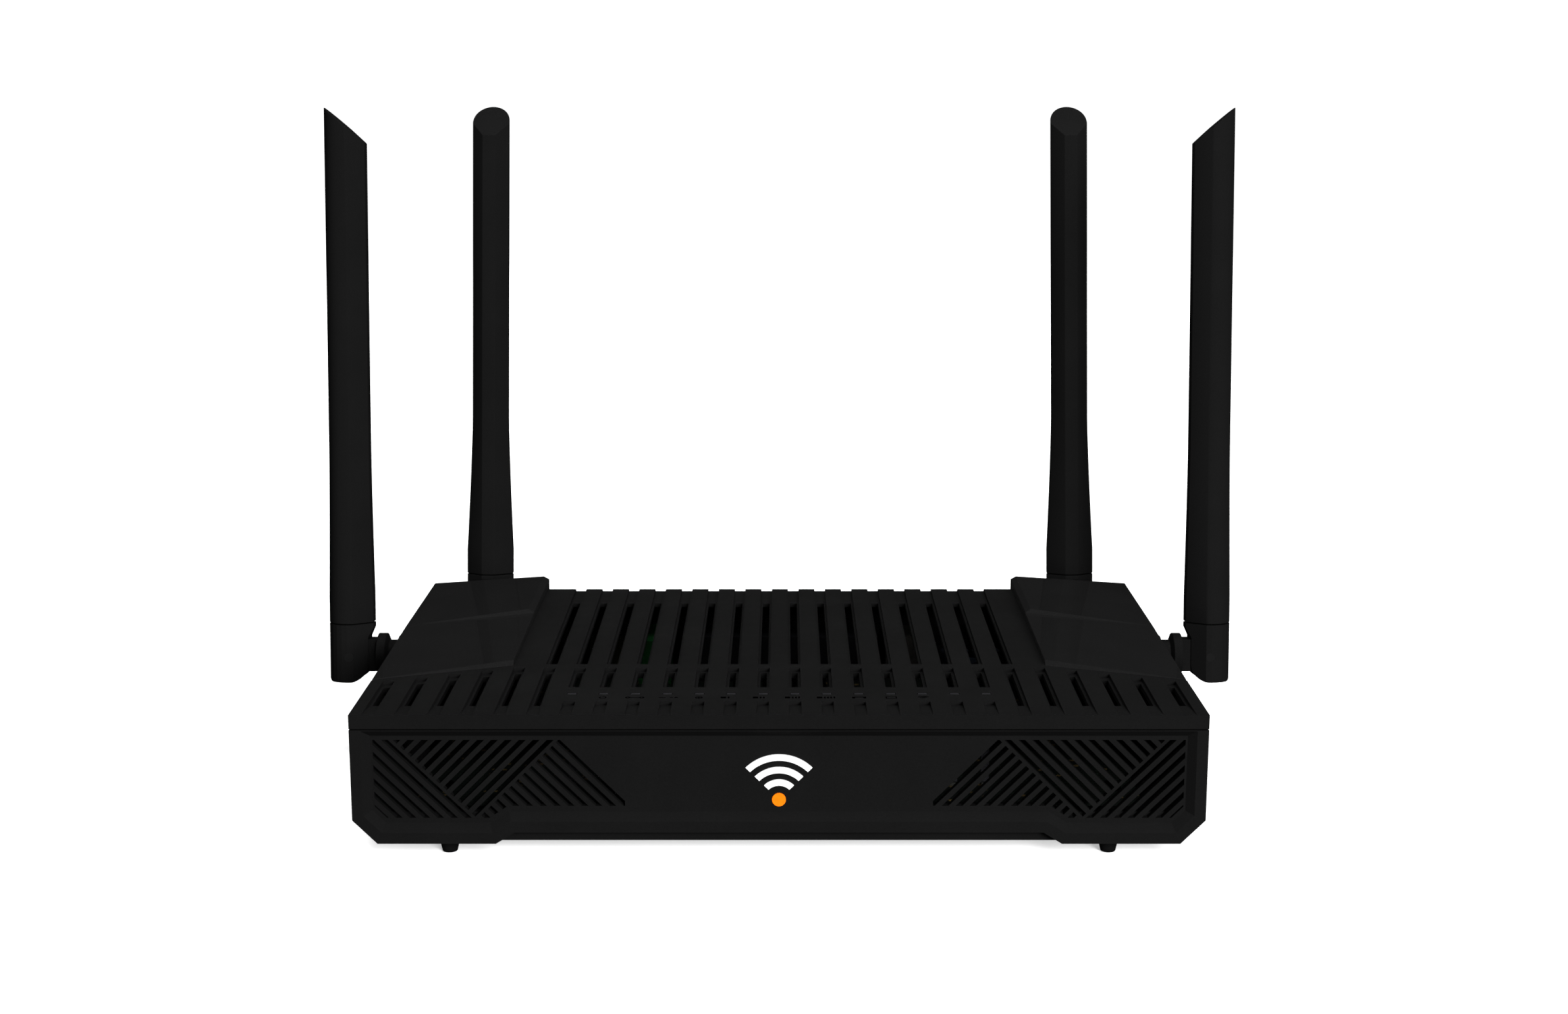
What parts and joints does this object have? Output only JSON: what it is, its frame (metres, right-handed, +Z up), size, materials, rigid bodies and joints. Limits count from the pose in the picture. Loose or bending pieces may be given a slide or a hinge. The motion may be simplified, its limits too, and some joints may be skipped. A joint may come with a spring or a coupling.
{
  "type": "wireless router",
  "caption": "Desktop wireless router with a ribbed ventilated cover, raised side wings, a grilled front bezel, rear ports and folding antennas at its sides and rear.",
  "frame": {"origin": "middle of the whole footprint, antennas at rest included, on the surface that the feet stand on", "axes": "+X across the router, to the right when its front is looked at; +Y from the front bezel to the rear ports; +Z up"},
  "size_m": [0.2552, 0.1776, 0.1801],
  "materials": {
    "cover_plastic": "fine moulded grain",
    "wing_plastic": "satin, smooth",
    "bezel_plastic": "fine moulded grain",
    "tray_plastic": "fine moulded grain",
    "antenna_plastic": "satin elastomer-like plastic",
    "white_print": "printed foil",
    "orange_print": "printed foil",
    "clear_guide": "translucent moulding",
    "screw_steel": "zinc plated",
    "pin_steel": "blackened",
    "board_laminate": "solder mask over laminate",
    "chip_resin": "moulded epoxy",
    "sink_aluminium": "extruded",
    "shield_steel": "tin plated sheet",
    "led_resin": "clear resin",
    "capacitor_sleeve": "shrunk sleeve",
    "lead_jacket": "smooth jacket",
    "green_plastic": "moulded",
    "jack_plastic": "moulded",
    "plated_metal": "nickel plated",
    "switch_plastic": "moulded",
    "button_plastic": "moulded",
    "foot_rubber": "moulded",
    "radiator_brass": "drawn tube"
  },
  "bodies": {
    "housing": {"top_cover": "cover_plastic", "left_wing": "wing_plastic", "right_wing": "wing_plastic", "front_bezel": "bezel_plastic", "badge_arcs": "white_print", "badge_dot": "orange_print", "bottom_tray": "tray_plastic", "light_guide": "clear_guide", "tray_screws": "screw_steel", "board_screws": "screw_steel", "front_left_foot": "foot_rubber", "front_right_foot": "foot_rubber", "rear_left_foot": "foot_rubber", "rear_right_foot": "foot_rubber", "main_board": "board_laminate", "processor": "chip_resin", "heatsink": "sink_aluminium", "radio_shield_24": "shield_steel", "radio_shield_5": "shield_steel", "memory_chips": "chip_resin", "indicator_leds": "led_resin", "capacitors": "capacitor_sleeve", "antenna_leads": "lead_jacket", "antenna_nuts": "screw_steel", "optical_port": "green_plastic", "network_jacks": "jack_plastic", "phone_jack": "jack_plastic", "coax_connector": "plated_metal", "power_inlet": "jack_plastic", "power_switch": "switch_plastic", "button_switches": "switch_plastic", "left_antenna_bushing": "antenna_plastic", "right_antenna_bushing": "antenna_plastic", "rear_left_antenna_bushing": "antenna_plastic", "rear_right_antenna_bushing": "antenna_plastic"},
    "left_antenna_base": {"left_antenna_swivel": "antenna_plastic"},
    "left_antenna_blade": {"left_antenna_pin": "pin_steel", "left_antenna_knuckle": "antenna_plastic", "left_antenna_sleeve": "antenna_plastic", "left_antenna_radiator": "radiator_brass"},
    "right_antenna_base": {"right_antenna_swivel": "antenna_plastic"},
    "right_antenna_blade": {"right_antenna_pin": "pin_steel", "right_antenna_knuckle": "antenna_plastic", "right_antenna_sleeve": "antenna_plastic", "right_antenna_radiator": "radiator_brass"},
    "rear_left_antenna_base": {"rear_left_antenna_swivel": "antenna_plastic"},
    "rear_left_antenna_blade": {"rear_left_antenna_pin": "pin_steel", "rear_left_antenna_knuckle": "antenna_plastic", "rear_left_antenna_sleeve": "antenna_plastic", "rear_left_antenna_radiator": "radiator_brass"},
    "rear_right_antenna_base": {"rear_right_antenna_swivel": "antenna_plastic"},
    "rear_right_antenna_blade": {"rear_right_antenna_pin": "pin_steel", "rear_right_antenna_knuckle": "antenna_plastic", "rear_right_antenna_sleeve": "antenna_plastic", "rear_right_antenna_radiator": "radiator_brass"},
    "power_key": {"power_button": "button_plastic"},
    "wps_key": {"wps_button": "button_plastic"},
    "wifi_key": {"wifi_button": "button_plastic"},
    "reset_key": {"reset_plunger": "button_plastic"}
  },
  "joints": [
    {"name": "left_antenna_turn", "type": "hinge", "parent": "housing", "child": "left_antenna_base", "pos_m": [-0.1046, 0.00224, 0.02745], "axis": [-1, 0, 0], "range_deg": [-97, 83]},
    {"name": "left_antenna_fold", "type": "hinge", "parent": "left_antenna_base", "child": "left_antenna_blade", "pos_m": [-0.1212, 0.00224, 0.02745], "axis": [0, -0.9925, 0.1219], "range_deg": [0, 90]},
    {"name": "right_antenna_turn", "type": "hinge", "parent": "housing", "child": "right_antenna_base", "pos_m": [0.1046, 0.00224, 0.02745], "axis": [-1, 0, 0], "range_deg": [-97, 83]},
    {"name": "right_antenna_fold", "type": "hinge", "parent": "right_antenna_base", "child": "right_antenna_blade", "pos_m": [0.1212, 0.00224, 0.02745], "axis": [0, 0.9925, -0.1219], "range_deg": [0, 90]},
    {"name": "rear_left_antenna_turn", "type": "hinge", "parent": "housing", "child": "rear_left_antenna_base", "pos_m": [-0.0902, 0.04624, 0.02745], "axis": [0, 1, 0], "range_deg": [-90.6, 89.4]},
    {"name": "rear_left_antenna_fold", "type": "hinge", "parent": "rear_left_antenna_base", "child": "rear_left_antenna_blade", "pos_m": [-0.0902, 0.06284, 0.02745], "axis": [-0.9999, 0, 0.0105], "range_deg": [-7.5, 82.5]},
    {"name": "rear_right_antenna_turn", "type": "hinge", "parent": "housing", "child": "rear_right_antenna_base", "pos_m": [0.0902, 0.04624, 0.02745], "axis": [0, 1, 0], "range_deg": [-89.4, 90.6]},
    {"name": "rear_right_antenna_fold", "type": "hinge", "parent": "rear_right_antenna_base", "child": "rear_right_antenna_blade", "pos_m": [0.0902, 0.06284, 0.02745], "axis": [-0.9999, 0, -0.0105], "range_deg": [-7.5, 82.5]},
    {"name": "power_press", "type": "slide", "parent": "housing", "child": "power_key", "axis": [0, -1, 0], "range_m": [0, 0.0015], "stiffness_N_per_m": 500},
    {"name": "wps_press", "type": "slide", "parent": "housing", "child": "wps_key", "axis": [0, -1, 0], "range_m": [0, 0.0006], "stiffness_N_per_m": 700},
    {"name": "wifi_press", "type": "slide", "parent": "housing", "child": "wifi_key", "axis": [0, -1, 0], "range_m": [0, 0.0006], "stiffness_N_per_m": 700},
    {"name": "reset_press", "type": "slide", "parent": "housing", "child": "reset_key", "axis": [0, -1, 0], "range_m": [0, 0.0006], "stiffness_N_per_m": 500}
  ]
}
